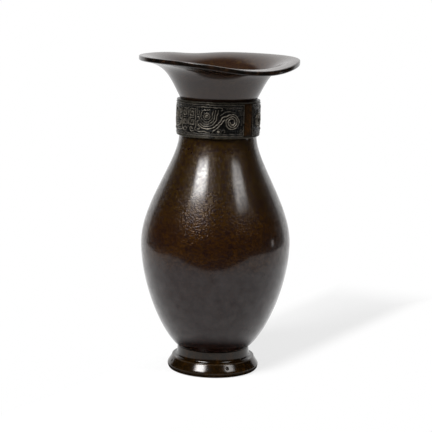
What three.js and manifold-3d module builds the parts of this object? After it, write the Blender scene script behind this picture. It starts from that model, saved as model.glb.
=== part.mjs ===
// Baluster vase in dark patinated bronze: foot ring, swelling body, relief collar and a wavy flared mouth.
// Millimetres, +Z up. The origin is the centre of the standing ring; the front is towards -Y, +X is right.
import * as THREE from 'three';
import { mergeVertices } from 'three/addons/utils/BufferGeometryUtils.js';
import Module from 'manifold-3d';

const wasm = await Module();
wasm.setup();

// Clearance between neighbouring pieces
const fit = 0.3;

// Height of the whole vase, from the standing ring to the top of the lip
const vaseHeight = 300;

// Foot ring
const footTopRadius = 34.3;
const footLedgeReach = 5;
const footSkirtReach = 4.4;
const footContactInset = 2.7;
const footCoveHeight = 10;
const footSkirtHeight = 12;
const footSwellHeight = 4.2;
const footBeadRadius = 0.6;

// Base plate let into the foot from below, and the pins that hold it
const plateLift = 6;
const plateThickness = 5;
const plateSeatWidth = 4.4;
const basePinCount = 4;
const basePinRadius = 1.2;
const basePinBite = 7;
const basePinRecess = 0.35;
const basePinClearance = 0.25;
const basePinTurn = -70.5;

// Body: a tenon in the foot, the belly and the neck
const tenonShoulder = 3.6;
const tenonWall = 3;
const bodyWall = 3.3;
const bellyRadius = 71.1;
const bellyRise = 100.7;
const neckRadius = 36.6;
const baseFlare = 1.27;
const baseHandle = 13;
const bellyLowHandle = 39.5;
const bellyHighHandle = 37;
const neckHandle = 25;

// Neck seat under the collar, the socket in it and the spigot of the mouth
const neckSeatStep = 1.4;
const socketWall = 1.9;
const spigotWall = 1.8;
const spigotLength = 18;
const neckTopDrop = 2;
const neckPinRadius = 1.2;
const neckPinClearance = 0.25;
const neckPinDrop = 9;

// Collar ring with its two rims
const collarHeight = 33.5;
const collarGroundThickness = 2.1;
const collarRimStep = 1.8;
const collarRimHeight = 1.4;
const collarRimRound = 0.5;

// Divider bars and relief panels laid in the collar
const panelCount = 2;
const barTurn = -44.5;
const barWidth = 9.5;
const barThickness = 1.7;
const panelThickness = 1.1;
const frameWidth = 0.9;
const frameRise = 0.5;
const ridgeRadius = 0.7;

// Relief motifs on one half of a panel: distance from the panel's centre line, height from its middle
const noseWidth = 2;
const noseHeight = 17;
const cheekAway = 8.4;
const cheekWidth = 1.1;
const eyeAway = 19.7;
const eyeUp = 3.7;
const eyeRadius = 2.6;
const bossRise = 1;
const hollowRadius = 5.1;
const hollowPitch = 2.1;
const hollowCount = 3;
const sweepRadius = 11.5;
const scrollAway = 43.2;
const scrollUp = -1.4;
const scrollOuterRadius = 7.6;
const scrollInnerRadius = 2;
const scrollTurns = 2.4;
const beadAway = 30.8;
const beadUp = -10.2;
const beadRadius = 1.4;
const fretAway = 45;
const fretUp = 10.7;
const fretWidth = 15;
const fretPitch = 2.2;
const fretCount = 2;

// Flared mouth with its wavy lip
const mouthRise = 39.5;
const throatStep = 0.9;
const lipRadius = 75.8;
const lipThickness = 4.6;
const lipFlat = 23.4;
const lipFall = 3.6;
const throatFlare = 11.9;
const throatHandle = 23.3;
const lipRound = 1.5;
const frontDipDepth = 8.5;
const frontDipTurn = -57;
const frontDipSpread = 29;
const backDipDepth = 1.8;
const backDipTurn = 109;
const backDipSpread = 12;
const dipStartRadius = 46;

// Facets of the round pieces and of the curves
const roundSteps = 48;
const pinSides = 16;
const ridgeSides = 5;

// Heights and radii that follow from the sizes above
const footHeight = footSkirtHeight + footCoveHeight;
const footLedgeRadius = footTopRadius + footLedgeReach;
const footWidestRadius = footLedgeRadius + footSkirtReach;
const footContactRadius = footWidestRadius - footContactInset;
const tenonRadius = footTopRadius - tenonShoulder;
const plateRadius = tenonRadius + plateSeatWidth;
const plateTop = plateLift + plateThickness;
const bodyBase = footHeight + fit;
const bellyZ = bodyBase + bellyRise;
const mouthBase = vaseHeight - mouthRise;
const collarTop = mouthBase - fit;
const collarBase = collarTop - collarHeight;
const collarMiddle = (collarBase + collarTop) / 2;
const neckZ = collarBase - fit;
const neckSeatRadius = neckRadius - neckSeatStep;
const socketRadius = neckSeatRadius - socketWall;
const spigotRadius = socketRadius - fit;
const boreRadius = spigotRadius - spigotWall;
const neckTop = collarTop - neckTopDrop;
const throatRadius = neckSeatRadius + throatStep;
const collarInner = neckSeatRadius + fit;
const collarGround = collarInner + collarGroundThickness;
const collarRimRadius = collarGround + collarRimStep;
const insetRadius = collarGround + fit;
const panelFace = insetRadius + panelThickness;
const insetHalfHeight = collarHeight / 2 - collarRimHeight - fit;
const panelPitch = (2 * Math.PI) / panelCount;
const panelHalfWidth = (panelPitch * panelFace - barWidth) / 2 - fit;

// Colours of the patina
const patina = {
  bodyBrown: { color: 0x33231a, roughness: 0.3, metalness: 0.55 },
  mouthBrown: { color: 0x3a2f29, roughness: 0.28, metalness: 0.55 },
  collarGrey: { color: 0x34332b, roughness: 0.42, metalness: 0.6 },
  reliefGrey: { color: 0x3d3b32, roughness: 0.4, metalness: 0.6 },
  barBrown: { color: 0x4a2f18, roughness: 0.45, metalness: 0.5 },
  footBrown: { color: 0x2b1c10, roughness: 0.25, metalness: 0.55 },
  pinDark: { color: 0x1d1712, roughness: 0.5, metalness: 0.5 },
  plateBrown: { color: 0x2a211a, roughness: 0.6, metalness: 0.45 },
};

const radians = THREE.MathUtils.degToRad;
const point = (radius, height) => new THREE.Vector2(radius, height);
const group = new THREE.Group();

// Adds a named piece, turned about the vase's axis
function addPiece(name, geometry, finish, turn = 0) {
  const mesh = new THREE.Mesh(geometry, new THREE.MeshStandardMaterial(finish));
  mesh.name = name;
  mesh.rotation.z = turn;
  group.add(mesh);
}

// A closed solid from a geometry, for joining and cutting
function toSolid(geometry) {
  const bare = geometry.clone();
  bare.deleteAttribute('normal');
  bare.deleteAttribute('uv');
  const merged = mergeVertices(bare, 1e-4);
  const vertProperties = new Float32Array(merged.attributes.position.array);
  const triVerts = new Uint32Array(merged.index.array);
  return new wasm.Manifold(new wasm.Mesh({ numProp: 3, vertProperties, triVerts }));
}

// A geometry from a closed solid
function toGeometry(solid) {
  const mesh = solid.getMesh();
  const geometry = new THREE.BufferGeometry();
  geometry.setAttribute('position', new THREE.BufferAttribute(mesh.vertProperties, 3));
  geometry.setIndex(new THREE.BufferAttribute(mesh.triVerts, 1));
  geometry.computeVertexNormals();
  return geometry;
}

// Cuts a list of geometries out of a geometry
function cut(geometry, tools) {
  const solid = tools.reduce((rest, tool) => rest.subtract(toSolid(tool)), toSolid(geometry));
  return toGeometry(solid);
}

// Joins a list of geometries into one body
function join(geometries) {
  const solid = geometries.slice(1).reduce((sum, next) => sum.add(toSolid(next)), toSolid(geometries[0]));
  return toGeometry(solid);
}

// The part of a geometry that lies inside another
function within(geometry, bounds) {
  return toGeometry(toSolid(geometry).intersect(toSolid(bounds)));
}

// Turns a profile about the vase's axis; a profile that closes on itself makes a ring
function turned(profile) {
  return new THREE.LatheGeometry(profile, roundSteps).rotateX(Math.PI / 2);
}

// Points of a curve between two ends with a handle at each, without its first point
function sweepTo(start, handleStart, handleEnd, end, steps) {
  return new THREE.CubicBezierCurve(start, handleStart, handleEnd, end).getPoints(steps).slice(1);
}

// Points moved to the left of the way they run by a wall thickness
function inset(points, wall) {
  return points.map((here, index) => {
    const before = points[Math.max(index - 1, 0)];
    const after = points[Math.min(index + 1, points.length - 1)];
    const along = after.clone().sub(before).normalize();
    return point(here.x - along.y * wall, here.y + along.x * wall);
  });
}

// A round pin lying along the radius at a height, between two radii
function radialPin(radius, from, to, height, turn) {
  const geometry = new THREE.CylinderGeometry(radius, radius, to - from, pinSides);
  geometry.rotateZ(-Math.PI / 2);
  geometry.translate((from + to) / 2, 0, height);
  return geometry.rotateZ(turn);
}

// A block of a ring between two radii, two angles and two heights
function ringBlock(inner, outer, from, to, low, high) {
  const shape = new THREE.Shape();
  shape.absarc(0, 0, outer, from, to, false);
  shape.absarc(0, 0, inner, to, from, true);
  const curveSegments = Math.max(1, Math.ceil((to - from) / radians(11)));
  const options = { depth: high - low, bevelEnabled: false, curveSegments };
  return new THREE.ExtrudeGeometry(shape, options).translate(0, 0, low);
}

// Foot: cove, bead and swelling skirt outside, tenon bore and plate recess inside
const skirtTop = point(footLedgeRadius + footBeadRadius / 2, footSkirtHeight - footBeadRadius);
const skirtSwell = point(footWidestRadius, footSwellHeight);
const skirtReach = footSkirtHeight - footSwellHeight;
const skirtUp = sweepTo(
  skirtSwell,
  point(footWidestRadius, footSwellHeight + skirtReach * 0.15),
  point(skirtTop.x + footSkirtReach * 0.54, skirtTop.y - skirtReach * 0.505),
  skirtTop,
  4,
);
const skirtFoot = sweepTo(
  point(footContactRadius, 0),
  point(footContactRadius + footContactInset * 0.7, 0),
  point(footWidestRadius, footSwellHeight * 0.4),
  skirtSwell,
  3,
);
const beadArc = new THREE.EllipseCurve(
  footLedgeRadius - footBeadRadius / 2,
  footSkirtHeight,
  footBeadRadius,
  footBeadRadius,
  -Math.PI / 4,
  Math.PI / 2,
).getPoints(2);
const beadEnd = beadArc[beadArc.length - 1];
const coveUp = sweepTo(
  beadEnd,
  point(beadEnd.x - footLedgeReach * 0.94, beadEnd.y),
  point(footTopRadius, footHeight - footCoveHeight * 0.94),
  point(footTopRadius, footHeight),
  5,
);
const plateRecess = plateRadius + fit;
const footOutside = [point(footContactRadius, 0), ...skirtFoot, ...skirtUp, ...beadArc, ...coveUp];
const footProfile = [
  ...footOutside,
  point(tenonRadius + fit, footHeight),
  point(tenonRadius + fit, plateTop + fit),
  point(plateRecess, plateTop + fit),
  point(plateRecess, 0),
  point(footContactRadius, 0),
];

// Radius of the foot's outside at a height, from its own outline
function footRadiusAt(height) {
  const upper = footOutside.findIndex((place) => place.y >= height);
  const high = footOutside[upper];
  const low = footOutside[upper - 1];
  return low.x + ((high.x - low.x) * (height - low.y)) / (high.y - low.y);
}

const basePinZ = plateLift + plateThickness / 2;
const basePinOuter = footRadiusAt(basePinZ) - basePinRecess;
const basePinInner = plateRadius - basePinBite;
const basePinTurns = Array.from({ length: basePinCount }, (_, index) => (
  radians(basePinTurn) + (index * 2 * Math.PI) / basePinCount
));
const basePinHoles = basePinTurns.map((turn) => radialPin(
  basePinRadius + basePinClearance,
  basePinInner - fit,
  footWidestRadius + fit,
  basePinZ,
  turn,
));
const plateProfile = [
  point(0, plateLift),
  point(plateRadius, plateLift),
  point(plateRadius, plateTop),
  point(0, plateTop),
];
addPiece('foot', cut(turned(footProfile), basePinHoles), patina.footBrown);
addPiece('base_plate', cut(turned(plateProfile), basePinHoles), patina.plateBrown);
basePinTurns.forEach((turn, index) => {
  const pin = radialPin(basePinRadius, basePinInner, basePinOuter, basePinZ, 0);
  addPiece(`base_pin_${index + 1}`, pin, patina.pinDark, turn);
});

// Body: the outside from the foot joint over the belly to the ledge that carries the collar
const jointEdge = point(footTopRadius, bodyBase);
const bellyEdge = point(bellyRadius, bellyZ);
const neckEdge = point(neckRadius, neckZ);
const bellyOutside = [
  jointEdge,
  ...sweepTo(
    jointEdge,
    point(footTopRadius + baseHandle * baseFlare, bodyBase + baseHandle),
    point(bellyRadius, bellyZ - bellyLowHandle),
    bellyEdge,
    7,
  ),
  ...sweepTo(
    bellyEdge,
    point(bellyRadius, bellyZ + bellyHighHandle),
    point(neckRadius, neckZ - neckHandle),
    neckEdge,
    8,
  ),
];
const bellyInside = inset(bellyOutside, bodyWall).slice(1, -2).reverse();
const bodyProfile = [
  ...bellyOutside,
  point(neckSeatRadius, neckZ),
  point(neckSeatRadius, neckTop),
  point(socketRadius, neckTop),
  point(socketRadius, neckZ - neckSeatStep),
  ...bellyInside,
  point(tenonRadius - tenonWall, bodyBase - tenonWall / 2),
  point(tenonRadius - tenonWall, plateTop + fit),
  point(tenonRadius, plateTop + fit),
  point(tenonRadius, bodyBase),
  jointEdge,
];

// Mouth: spigot, shoulder on the neck and collar, flared trumpet and rolled lip
const lipUnder = point(lipRadius - lipRound, vaseHeight - lipThickness);
const lipInner = point(lipRadius - lipRound * 1.6, vaseHeight);
const throatEdge = point(throatRadius, mouthBase);
const trumpetOutside = sweepTo(
  throatEdge,
  point(throatRadius + throatFlare, mouthBase + throatHandle),
  point(lipUnder.x - lipFlat, lipUnder.y - lipFall),
  lipUnder,
  8,
);
const lipEdge = sweepTo(
  lipUnder,
  point(lipRadius + lipRound * 0.4, lipUnder.y + lipThickness * 0.2),
  point(lipRadius + lipRound * 0.4, vaseHeight - lipThickness * 0.2),
  lipInner,
  3,
);
const trumpetInside = sweepTo(
  lipInner,
  point(lipInner.x - lipFlat, vaseHeight - lipFall),
  point(boreRadius + throatFlare * 0.9, mouthBase + throatHandle * 0.9),
  point(boreRadius, mouthBase),
  7,
);
const mouthProfile = [
  point(spigotRadius, neckTop - spigotLength),
  point(spigotRadius, neckTop + fit),
  point(neckSeatRadius, neckTop + fit),
  point(neckSeatRadius, mouthBase),
  throatEdge,
  ...trumpetOutside,
  ...lipEdge,
  ...trumpetInside,
  point(boreRadius, neckTop - spigotLength),
  point(spigotRadius, neckTop - spigotLength),
];

// Depth of one hollow in the lip at a turn about the axis
function hollow(turn, depth, centre, spread) {
  const away = Math.atan2(Math.sin(turn - radians(centre)), Math.cos(turn - radians(centre)));
  return depth * Math.exp(-0.5 * (away / radians(spread)) ** 2);
}

// Lowers the lip into its waves; the fall grows smoothly from the throat to the lip
function waveLip(geometry) {
  const places = geometry.attributes.position;
  for (let index = 0; index < places.count; index += 1) {
    const turn = Math.atan2(places.getY(index), places.getX(index));
    const radius = Math.hypot(places.getX(index), places.getY(index));
    const share = THREE.MathUtils.smoothstep(radius, dipStartRadius, lipRadius);
    const fall = hollow(turn, frontDipDepth, frontDipTurn, frontDipSpread)
      + hollow(turn, backDipDepth, backDipTurn, backDipSpread);
    places.setZ(index, places.getZ(index) - fall * share);
  }
  return geometry;
}

// Neck pins lock the mouth, the body and the collar together under each divider bar
const barTurns = Array.from({ length: panelCount }, (_, index) => radians(barTurn) + index * panelPitch);
const neckPinZ = neckTop - neckPinDrop;
const neckPinInner = boreRadius + fit;
const neckPinHoles = barTurns.map((turn) => radialPin(
  neckPinRadius + neckPinClearance,
  boreRadius - spigotWall,
  insetRadius + fit,
  neckPinZ,
  turn,
));
addPiece('body', cut(turned(bodyProfile), neckPinHoles), patina.bodyBrown);
addPiece('mouth', cut(waveLip(turned(mouthProfile)), neckPinHoles), patina.mouthBrown);
barTurns.forEach((turn, index) => {
  const pin = radialPin(neckPinRadius, neckPinInner, collarGround, neckPinZ, 0);
  addPiece(`neck_pin_${index + 1}`, pin, patina.pinDark, turn);
});

// Collar ring: a plain ground between two rims
const collarProfile = [
  point(collarInner, collarBase),
  point(collarRimRadius - collarRimRound, collarBase),
  point(collarRimRadius, collarBase + collarRimRound),
  point(collarRimRadius, collarBase + collarRimHeight),
  point(collarGround, collarBase + collarRimHeight),
  point(collarGround, collarTop - collarRimHeight),
  point(collarRimRadius, collarTop - collarRimHeight),
  point(collarRimRadius, collarTop - collarRimRound),
  point(collarRimRadius - collarRimRound, collarTop),
  point(collarInner, collarTop),
  point(collarInner, collarBase),
];
addPiece('collar_ring', cut(turned(collarProfile), neckPinHoles), patina.collarGrey);

// Divider bars: plain upright strips between the relief panels
const insetLow = collarMiddle - insetHalfHeight;
const insetHigh = collarMiddle + insetHalfHeight;
const barHalfTurn = barWidth / 2 / panelFace;
const barFace = insetRadius + barThickness;
barTurns.forEach((turn, index) => {
  const bar = ringBlock(insetRadius, barFace, -barHalfTurn, barHalfTurn, insetLow, insetHigh);
  addPiece(`divider_bar_${index + 1}`, bar, patina.barBrown, turn);
});

// A place on the face of a panel whose centre line lies on +X
function onPanel(away, up) {
  const turn = away / panelFace;
  return new THREE.Vector3(panelFace * Math.cos(turn), panelFace * Math.sin(turn), collarMiddle + up);
}

// A raised rectangle on the face of a panel
function raised(awayFrom, awayTo, upFrom, upTo) {
  const core = insetRadius + panelThickness / 2;
  const low = collarMiddle + upFrom;
  const high = collarMiddle + upTo;
  return ringBlock(core, panelFace + frameRise, awayFrom / panelFace, awayTo / panelFace, low, high);
}

// A half-round ridge along places on the face of a panel
function ridge(places, steps) {
  const section = new THREE.Shape();
  for (let side = 0; side < ridgeSides; side += 1) {
    const turn = (side * 2 * Math.PI) / ridgeSides;
    const corner = point(ridgeRadius * Math.cos(turn), ridgeRadius * Math.sin(turn));
    if (side === 0) section.moveTo(corner.x, corner.y);
    else section.lineTo(corner.x, corner.y);
  }
  const extrudePath = new THREE.CatmullRomCurve3(places.map(([away, up]) => onPanel(away, up)));
  return new THREE.ExtrudeGeometry(section, { steps, extrudePath, bevelEnabled: false });
}

// A low round boss on the face of a panel
function boss(away, up, radius, rise) {
  const place = onPanel(away, up);
  const geometry = new THREE.SphereGeometry(radius, 10, 6).scale(rise / radius, 1, 1);
  return geometry.rotateZ(away / panelFace).translate(place.x, place.y, place.z);
}

// Places along a spiral on a panel, from one angle and radius to another
function spiral(away, up, from, to, radiusFrom, radiusTo, count) {
  return Array.from({ length: count + 1 }, (_, index) => {
    const turn = radians(THREE.MathUtils.lerp(from, to, index / count));
    const radius = THREE.MathUtils.lerp(radiusFrom, radiusTo, index / count);
    return [away + radius * Math.cos(turn), up + radius * Math.sin(turn)];
  });
}

// The motifs of one half of a panel; side is +1 or -1 and mirrors them
function halfMotifs(side) {
  const mirrored = (places) => places.map(([away, up]) => [side * away, up]);
  const scrollEnd = 135 - scrollTurns * 360;
  const sweep = [
    ...spiral(eyeAway, eyeUp, 226, 312, sweepRadius, sweepRadius, 6),
    ...spiral(scrollAway, scrollUp, 135, scrollEnd, scrollOuterRadius, scrollInnerRadius, 24),
  ];
  const hollows = Array.from({ length: hollowCount }, (_, index) => {
    const radius = hollowRadius + index * hollowPitch;
    return spiral(eyeAway, eyeUp, 200 + index * 12, 385, radius, radius, 8);
  });
  const cheek = side * cheekAway;
  const fret = Array.from({ length: fretCount }, (_, index) => {
    const middle = side * fretAway;
    const low = fretUp - index * fretPitch;
    return raised(middle - fretWidth / 2, middle + fretWidth / 2, low, low + frameWidth);
  });
  return [
    ridge(mirrored(sweep), 62),
    ...hollows.map((places) => ridge(mirrored(places), 12)),
    raised(cheek - cheekWidth / 2, cheek + cheekWidth / 2, -noseHeight / 2, noseHeight / 2),
    boss(side * eyeAway, eyeUp, eyeRadius, bossRise),
    boss(side * beadAway, beadUp, beadRadius, bossRise),
    ...fret,
  ];
}

// Relief panels: a thin curved plate with a frame, a raised nose and mirrored scroll motifs
const plateHalfTurn = panelHalfWidth / panelFace;
const panelPlate = ringBlock(insetRadius, panelFace, -plateHalfTurn, plateHalfTurn, insetLow, insetHigh);
const frameReach = panelHalfWidth - fit;
const frameHalfHeight = insetHalfHeight - fit;
const reliefTop = panelFace + Math.max(frameRise, ridgeRadius, bossRise) + fit;
const panelSpace = ringBlock(insetRadius, reliefTop, -plateHalfTurn, plateHalfTurn, insetLow, insetHigh);
const panelRelief = join([
  panelPlate,
  raised(-frameReach, frameReach, frameHalfHeight - frameWidth, frameHalfHeight),
  raised(-frameReach, frameReach, -frameHalfHeight, frameWidth - frameHalfHeight),
  raised(-frameReach, frameWidth - frameReach, -frameHalfHeight, frameHalfHeight),
  raised(frameReach - frameWidth, frameReach, -frameHalfHeight, frameHalfHeight),
  raised(-noseWidth / 2, noseWidth / 2, -noseHeight / 2, noseHeight / 2),
  ...halfMotifs(1),
  ...halfMotifs(-1),
]);
const panelGeometry = within(panelRelief, panelSpace);
barTurns.forEach((turn, index) => {
  addPiece(`relief_panel_${index + 1}`, panelGeometry, patina.reliefGrey, turn - panelPitch / 2);
});

export default group;
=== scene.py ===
"""A baluster vase in dark patinated bronze over its CAD frame: foot, body, relief collar and wavy mouth."""
import logging
import math
from collections.abc import Callable, Sequence
from dataclasses import dataclass, field
from enum import Enum
from functools import cache, partial, reduce
from typing import Any

import bpy
import numpy as np
from mathutils import Matrix, Vector


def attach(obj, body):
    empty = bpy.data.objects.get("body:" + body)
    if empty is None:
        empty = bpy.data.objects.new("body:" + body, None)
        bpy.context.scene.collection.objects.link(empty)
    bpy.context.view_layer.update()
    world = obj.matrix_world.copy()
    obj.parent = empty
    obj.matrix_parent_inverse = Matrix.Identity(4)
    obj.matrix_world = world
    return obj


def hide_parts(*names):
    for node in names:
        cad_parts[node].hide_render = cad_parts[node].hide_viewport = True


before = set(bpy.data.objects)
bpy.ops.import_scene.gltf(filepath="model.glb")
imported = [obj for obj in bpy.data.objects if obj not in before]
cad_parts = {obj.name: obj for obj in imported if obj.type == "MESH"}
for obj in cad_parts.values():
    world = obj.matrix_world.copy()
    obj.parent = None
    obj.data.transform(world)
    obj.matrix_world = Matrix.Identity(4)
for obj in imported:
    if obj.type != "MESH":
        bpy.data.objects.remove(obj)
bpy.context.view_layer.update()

log = logging.getLogger("vase")

Pair = tuple[float, float]
Triple = tuple[float, float, float]
Tint = tuple[int, int, int]

# A socket, or a plain value
Feed = Any

# One millimetre in metres: sizes below are in millimetres, meshes in metres
MM = 0.001

# Clearance between pieces, in millimetres
FIT = 0.3

# Share of the way to a corner at which a curve's handle rounds it like a quarter circle
ROUND_HANDLE = 0.56

# Shortest and longest span that counts where a bend is measured, in millimetres
SPAN_LIMITS = (0.2, 3.0)

# Middle of the patch on the belly where the wax is rubbed thin, in metres
DULL_PATCH = (-0.015, -0.062, 0.162)

# Distances over which the wax comes back round the patch, and how far they waver, in metres
PATCH_EDGE = (0.012, 0.042)
PATCH_WAVER = 0.014

# Share of the wax that is left on the patch, and share that a speck lacks
PATCH_WAX = 0.08
SPECK_BARE = 0.3

# Least share of wax between its clouds, and what the clouds add
WAX_LEAST = 0.4
WAX_MORE = 1.2

# Heights between which the patina is painted darker towards the foot, as painted shade where the belly turns
# under, in metres
FOOT_SHADE = (0.122, 0.1)

# Heights between which the lightest tint takes over above the belly, in metres
PALE_RISE = (0.13, 0.185)

# Least strength of the runs, between the clouds
RUN_LEAST = 0.4

# Specks a metre, values of a cell that make it none or full, and share of the darkest tint in a full one
SPECK_SCALE = 660.0
SPECK_LIMITS = (0.1, 1.0)
SPECK_SHARE = 0.9

# Casting pits a metre, and share of a cell that a pit takes
PIT_SCALE = 690.0
PIT_REACH = 0.5

# Wiping ripples a metre
RIPPLE_SCALE = 290.0

# Cells of the squared ground across and up a panel, rings in each, and wear between which it is lost
FRET_CELLS = (42.0, 11.0, 1.0)
FRET_RINGS = 26.0
FRET_WEAR = (0.3, 0.05)

WHITE = (1.0, 1.0, 1.0, 1.0)


# Surfaces

def curve(start: Pair, lead: Pair, follow: Pair, end: Pair, steps: int) -> np.ndarray:
    """Points of a cubic curve: its four points weighted by (1-t)^3, 3t(1-t)^2, 3t^2(1-t) and t^3.

    Args:
        start: First point, as radius and height.
        lead: Handle of the first point.
        follow: Handle of the last point.
        end: Last point.
        steps: Number of spans.

    Returns:
        Points, one row each.
    """
    t = np.linspace(0.0, 1.0, steps + 1)[:, None]
    weights = ((1 - t) ** 3, 3 * t * (1 - t) ** 2, 3 * t**2 * (1 - t), t**3)
    return sum(weight * np.array(place) for weight, place in zip(weights, (start, lead, follow, end)))


def rounded(before: Pair, corner: Pair, after: Pair, steps: int = 5) -> np.ndarray:
    """Points of a quarter turn round a corner, as a cubic curve whose handles lie near the corner.

    Args:
        before: Where the turn begins.
        corner: The sharp corner that it rounds.
        after: Where the turn ends.
        steps: Number of spans.

    Returns:
        Points, one row each.
    """
    first, sharp, last = (np.array(place) for place in (before, corner, after))
    lead, follow = (tuple(end + ROUND_HANDLE * (sharp - end)) for end in (first, last))
    return curve(before, lead, follow, after, steps)


def chain(*runs: np.ndarray | Pair) -> np.ndarray:
    """Runs of points one after another, each point kept once.

    Args:
        runs: Arrays of points or single points.

    Returns:
        Points, one row each.
    """
    points = np.vstack([np.atleast_2d(np.array(run, dtype=float)) for run in runs])
    step = np.linalg.norm(points - np.roll(points, 1, axis=0), axis=1)
    return points[step > 1e-6]


def inset(points: np.ndarray, wall: float) -> np.ndarray:
    """Points moved to the left of the way they run, square to the chord of their neighbours.

    Args:
        points: Outline, as radius and height.
        wall: Distance to move.

    Returns:
        The moved outline.
    """
    along = np.gradient(points, axis=0)
    along /= np.linalg.norm(along, axis=1, keepdims=True)
    return points + wall * np.stack([-along[:, 1], along[:, 0]], axis=1)


def full_turn(columns: int) -> np.ndarray:
    """Angles in even steps once round, in radians, without the last."""
    return np.linspace(0.0, 2 * np.pi, columns, endpoint=False)


def turned(outline: np.ndarray, columns: int) -> np.ndarray:
    """Outline turned about the vase's axis: radius times cosine and sine of the turn, at its height.

    Args:
        outline: Closed outline that runs up on the outside and down on the inside.
        columns: Number of steps round the axis.

    Returns:
        Grid of places, outline by turn.
    """
    turn = full_turn(columns)
    radius, height = outline[:, :1], outline[:, 1:]
    return np.stack([radius * np.cos(turn), radius * np.sin(turn), height + 0 * turn], axis=-1)


def edge_wear(outline: np.ndarray, sharpest: float) -> np.ndarray:
    """Wear of an outline's edges: each point's bend over the length of its spans, zero in hollows.

    Args:
        outline: Closed outline that runs up on the outside.
        sharpest: Bend in radians a millimetre at which an edge is fully worn.

    Returns:
        Wear of each point, from 0 to 1.
    """
    after = np.roll(outline, -1, axis=0) - outline
    before = np.roll(after, 1, axis=0)
    cross = before[:, 0] * after[:, 1] - before[:, 1] * after[:, 0]
    bend = np.arctan2(cross, np.sum(before * after, axis=1))
    length = (np.linalg.norm(before, axis=1) + np.linalg.norm(after, axis=1)) / 2
    return np.clip(bend / np.clip(length, *SPAN_LIMITS) / sharpest, 0.0, 1.0)


def smoothstep(value: np.ndarray, low: float, high: float) -> np.ndarray:
    """Share of the way from low to high, eased at both ends as 3s^2 - 2s^3."""
    share = np.clip((value - low) / (high - low), 0.0, 1.0)
    return share * share * (3 - 2 * share)


def placed(name: str, data: bpy.types.ID) -> bpy.types.Object:
    """An object that shows the data, in the scene at the origin.

    Args:
        name: Name of the object.
        data: Its mesh, lamp or camera.

    Returns:
        The object.
    """
    shown = bpy.data.objects.new(name, data)
    bpy.context.scene.collection.objects.link(shown)
    return shown


def loft(
    name: str, loops: np.ndarray, wear: np.ndarray, ring: bool, crease: float = 40.0,
) -> bpy.types.Object:
    """Surface through closed loops: neighbours in a loop and in the next loop make a face.

    Args:
        name: Name of the piece.
        loops: Grid of places in millimetres, loop by point of the loop.
        wear: Wear of each place, from 0 to 1; on the mouth it marks the lip's edge that takes painted shade.
        ring: True where the last loop joins the first, False where both ends get a flat cap.
        crease: Angle in degrees above which an edge is shown sharp.

    Returns:
        The piece, at the origin.
    """
    rows, columns = loops.shape[:2]
    index = np.arange(rows * columns).reshape(rows, columns)
    low = index if ring else index[:-1]
    high = np.roll(index, -1, axis=0) if ring else index[1:]
    quads = np.stack([low, np.roll(low, -1, axis=1), np.roll(high, -1, axis=1), high], axis=-1)
    faces = quads.reshape(-1, 4).tolist()
    if not ring:
        faces += [index[0, ::-1].tolist(), index[-1].tolist()]
    mesh = bpy.data.meshes.new(name)
    mesh.from_pydata((loops.reshape(-1, 3) * MM).tolist(), [], faces)
    worn = mesh.attributes.new("wear", "FLOAT", "POINT")
    worn.data.foreach_set("value", np.broadcast_to(wear, (rows, columns)).astype(np.float32).ravel())
    mesh.shade_smooth()
    mesh.set_sharp_from_angle(angle=math.radians(crease))
    return placed(name, mesh)


# Finishes

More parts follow.
